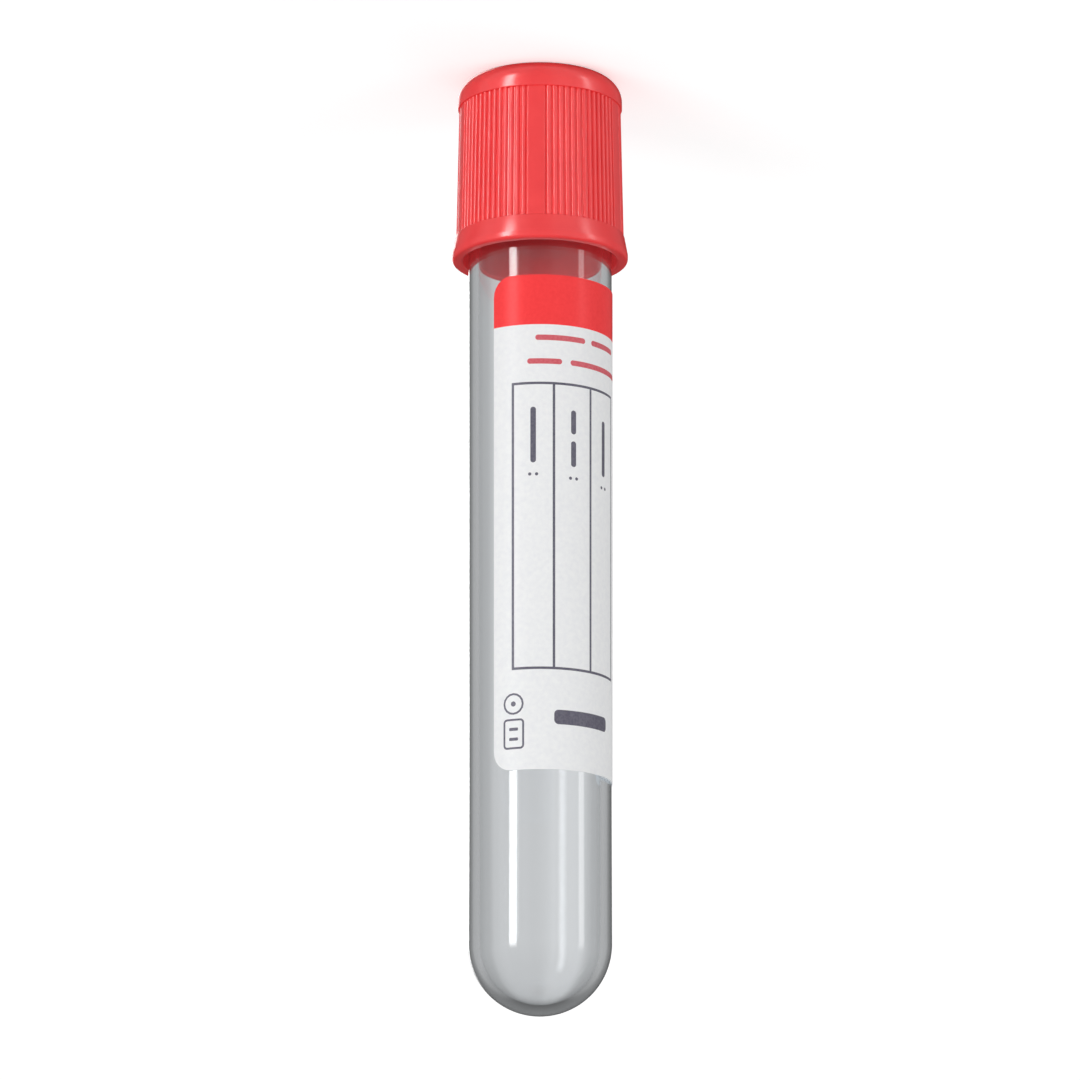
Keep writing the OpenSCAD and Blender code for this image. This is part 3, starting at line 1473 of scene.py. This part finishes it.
@dataclass
class Studio:
    """A pale floor, soft light and the camera."""

    camera_at: tuple[float, float, float] = (0.0, -640.0, 217.5)
    looks_at: tuple[float, float, float] = (0.0, 0.0, 53.0)
    lens: float = 200.0
    sensor: float = 36.0
    clip: tuple[float, float] = (10.0, 20000.0)
    floor_reach: float = 4000.0
    floor_white: float = 0.82
    floor_glow: float = 0.5
    fill: float = 0.95
    key: float = 1.1
    key_azimuth: float = 42.0
    key_height: float = 18.0
    key_spread: float = 36.0
    rear_share: float = 0.4
    rear_turn: float = 170.0
    side_share: float = 0.5
    side_turn: float = -100.0
    zenith: float = 0.35
    zenith_span: tuple[float, float] = (0.1, 0.8)
    card_soft: float = 0.3
    card_fade: float = 7.0
    gloss: Surround = Surround(
        0.7,
        (
            Card(44.0, 12.0, 11.0, -40.0, 8.0),
            Card(-70.0, 10.0, 3.0, -40.0, 8.0),
            Card(165.0, 10.0, 3.0, -40.0, -5.0),
        ),
        (
            Card(135.0, 80.0, 0.7),
            Card(-135.0, 80.0, 0.7),
            Card(180.0, 60.0, 0.8),
            Card(0.0, 34.0, 0.4),
        ),
    )
    inner_gloss: Surround = Surround(
        0.5, (Card(44.0, 12.0, 2.5, -40.0, -3.0),), (Card(180.0, 50.0, 0.4),)
    )
    through: Surround = Surround(
        0.74,
        (),
        (Card(158.0, 24.0, 0.35), Card(-158.0, 24.0, 0.35), Card(176.0, 9.0, 0.12)),
    )

    def camera(self) -> None:
        """Sets up the camera, turned so that the cap is at the top of the picture."""
        data = bpy.data.cameras.new("camera")
        data.lens = self.lens
        data.sensor_width = self.sensor
        data.clip_start, data.clip_end = (end * MM for end in self.clip)
        camera = bpy.data.objects.new("camera", data)
        at = Vector(self.camera_at) * MM
        ahead = (Vector(self.looks_at) * MM - at).normalized()
        across = ahead.cross(Vector((0.0, 0.0, -1.0))).normalized()
        up = across.cross(ahead)
        axes = Matrix((across, up, -ahead)).transposed().to_4x4()
        camera.matrix_world = Matrix.Translation(at) @ axes
        bpy.context.scene.collection.objects.link(camera)
        bpy.context.scene.camera = camera

    def floor(self) -> None:
        """Lays the white floor, which keeps the object's shadow."""
        reach = self.floor_reach * MM
        mesh = bpy.data.meshes.new("floor")
        square = [(-reach, -reach, 0), (reach, -reach, 0), (reach, reach, 0)]
        mesh.from_pydata(square + [(-reach, reach, 0)], [], [(0, 1, 2, 3)])
        floor = placed("floor", mesh)
        paint = bpy.data.materials.new("white_floor")
        paint.use_nodes = True
        nodes = Nodes(paint.node_tree)
        white = (self.floor_white, self.floor_white, self.floor_white, 1.0)
        matt = nodes.add("ShaderNodeBsdfDiffuse", {"Color": white})
        rays = nodes.add("ShaderNodeLightPath")
        glow = nodes.calc("MULTIPLY", rays.outputs["Is Camera Ray"], self.floor_glow)
        light = nodes.add("ShaderNodeEmission", {"Strength": glow})
        both = nodes.add(
            "ShaderNodeAddShader", {0: matt.outputs[0], 1: light.outputs[0]}
        )
        nodes.add("ShaderNodeOutputMaterial", {"Surface": both.outputs[0]})
        mesh.materials.append(paint)
        floor.visible_glossy = False
        floor.visible_transmission = False

    def sun(self, name: str, azimuth: float, strength: float) -> None:
        """Adds one broad lamp at the height of the key light.

        Args:
            name: Name of the lamp.
            azimuth: Degrees from the front, positive towards +X.
            strength: How strong it is.
        """
        data = bpy.data.lights.new(name, "SUN")
        data.energy = strength
        data.angle = math.radians(self.key_spread)
        lamp = bpy.data.objects.new(name, data)
        turn = Matrix.Rotation(math.radians(azimuth), 3, "Z")
        tilt = Matrix.Rotation(math.radians(90 - self.key_height), 3, "X")
        lamp.matrix_world = (turn @ tilt).to_4x4()
        lamp.visible_glossy = False
        lamp.visible_transmission = False
        bpy.context.scene.collection.objects.link(lamp)

    def card(self, nodes: Nodes, way: Socket, rise: Socket, card: Card) -> Socket:
        """Marks the directions of one card.

        Args:
            nodes: The world's nodes.
            way: Socket with the level direction.
            rise: Socket with how far the direction points up.
            card: The card.

        Returns:
            A socket that is 1 within the card, 0 outside, and soft between.
        """
        a = math.radians(card.azimuth)
        towards = nodes.add(
            "ShaderNodeVectorMath",
            {0: way, 1: (math.sin(a), -math.cos(a), 0.0)},
            operation="DOT_PRODUCT",
        ).outputs["Value"]
        half = math.radians(card.width) / 2
        far, near = half * (1 + self.card_soft), half * (1 - self.card_soft)
        edge = (math.cos(far), math.cos(near))
        mark = nodes.ranged(towards, 0.0, 1.0, edge, soft=True)
        for end, inward in ((card.foot, self.card_fade), (card.head, -self.card_fade)):
            if abs(end) >= STRAIGHT_UP:
                continue
            low, high = math.radians(end - inward), math.radians(end + inward)
            span = (math.sin(low), math.sin(high))
            within = nodes.ranged(rise, 0.0, 1.0, span, soft=True)
            mark = nodes.calc("MULTIPLY", mark, within)
        return mark

    def surround(
        self, nodes: Nodes, way: Socket, rise: Socket, seen: Surround
    ) -> Socket:
        """Adds one surround's cards.

        Args:
            nodes: The world's nodes.
            way: Socket with the level direction.
            rise: Socket with how far the direction points up.
            seen: The surround, with one card or more.

        Returns:
            A socket with its strength in every direction.
        """
        strength: Socket | float = seen.level
        for card in seen.dark:
            mark = self.card(nodes, way, rise, card)
            kept = nodes.calc("MULTIPLY_ADD", mark, -card.level, 1.0)
            strength = nodes.calc("MULTIPLY", kept, strength)
        for card in seen.bright:
            mark = self.card(nodes, way, rise, card)
            strength = nodes.calc("MULTIPLY_ADD", mark, card.level, strength)
        return strength

    def world(self) -> None:
        """Builds the world: white to the camera, plain fill, and cards for gloss."""
        world = bpy.data.worlds.new("studio")
        bpy.context.scene.world = world
        world.use_nodes = True
        nodes = Nodes(world.node_tree)
        place = nodes.add("ShaderNodeTexCoord").outputs["Generated"]
        flat = nodes.add(
            "ShaderNodeVectorMath", {0: place, 1: (1.0, 1.0, 0.0)}, operation="MULTIPLY"
        )
        way = nodes.add(
            "ShaderNodeVectorMath", {0: flat.outputs[0]}, operation="NORMALIZE"
        ).outputs[0]
        rise = nodes.add("ShaderNodeSeparateXYZ", {0: place}).outputs["Z"]
        rays = nodes.add("ShaderNodeLightPath").outputs
        gloss, inner, through = (
            self.surround(nodes, way, rise, seen)
            for seen in (self.gloss, self.inner_gloss, self.through)
        )
        # A reflection inside the clear wall leaves it as a transmission ray.
        through = nodes.mixed(rays["Glossy Depth"], through, inner)
        strength = nodes.mixed(rays["Is Glossy Ray"], self.fill, gloss)
        strength = nodes.mixed(rays["Is Transmission Ray"], strength, through)
        overhead = nodes.ranged(rise, 1.0, self.zenith, self.zenith_span)
        strength = nodes.calc("MULTIPLY", strength, overhead)
        strength = nodes.mixed(rays["Is Camera Ray"], strength, 1.0)
        back = nodes.add("ShaderNodeBackground", {"Color": WHITE, "Strength": strength})
        nodes.add("ShaderNodeOutputWorld", {"Surface": back.outputs[0]})

    def build(self) -> None:
        """Sets up the camera, the floor and all light."""
        self.camera()
        self.floor()
        self.world()
        for name, turn, share in (
            ("key", 0.0, 1.0),
            ("side_fill", self.side_turn, self.side_share),
            ("rear_key", self.rear_turn, self.rear_share),
        ):
            self.sun(name, self.key_azimuth + turn, self.key * share)
        bpy.context.scene.view_settings.view_transform = "Standard"


def main() -> None:
    """Loads the frame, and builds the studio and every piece."""
    logging.basicConfig(level=logging.INFO, format="%(name)s: %(message)s")
    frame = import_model()
    log.info("frame: %s", ", ".join(sorted(frame["nodes"])))
    Studio().build()
    tube = ClearTube()
    tube.build()
    PrintedLabel(tube).build()
    RubberStopper().build()
    RibbedCap().build()


if __name__ == "__main__":
    main()
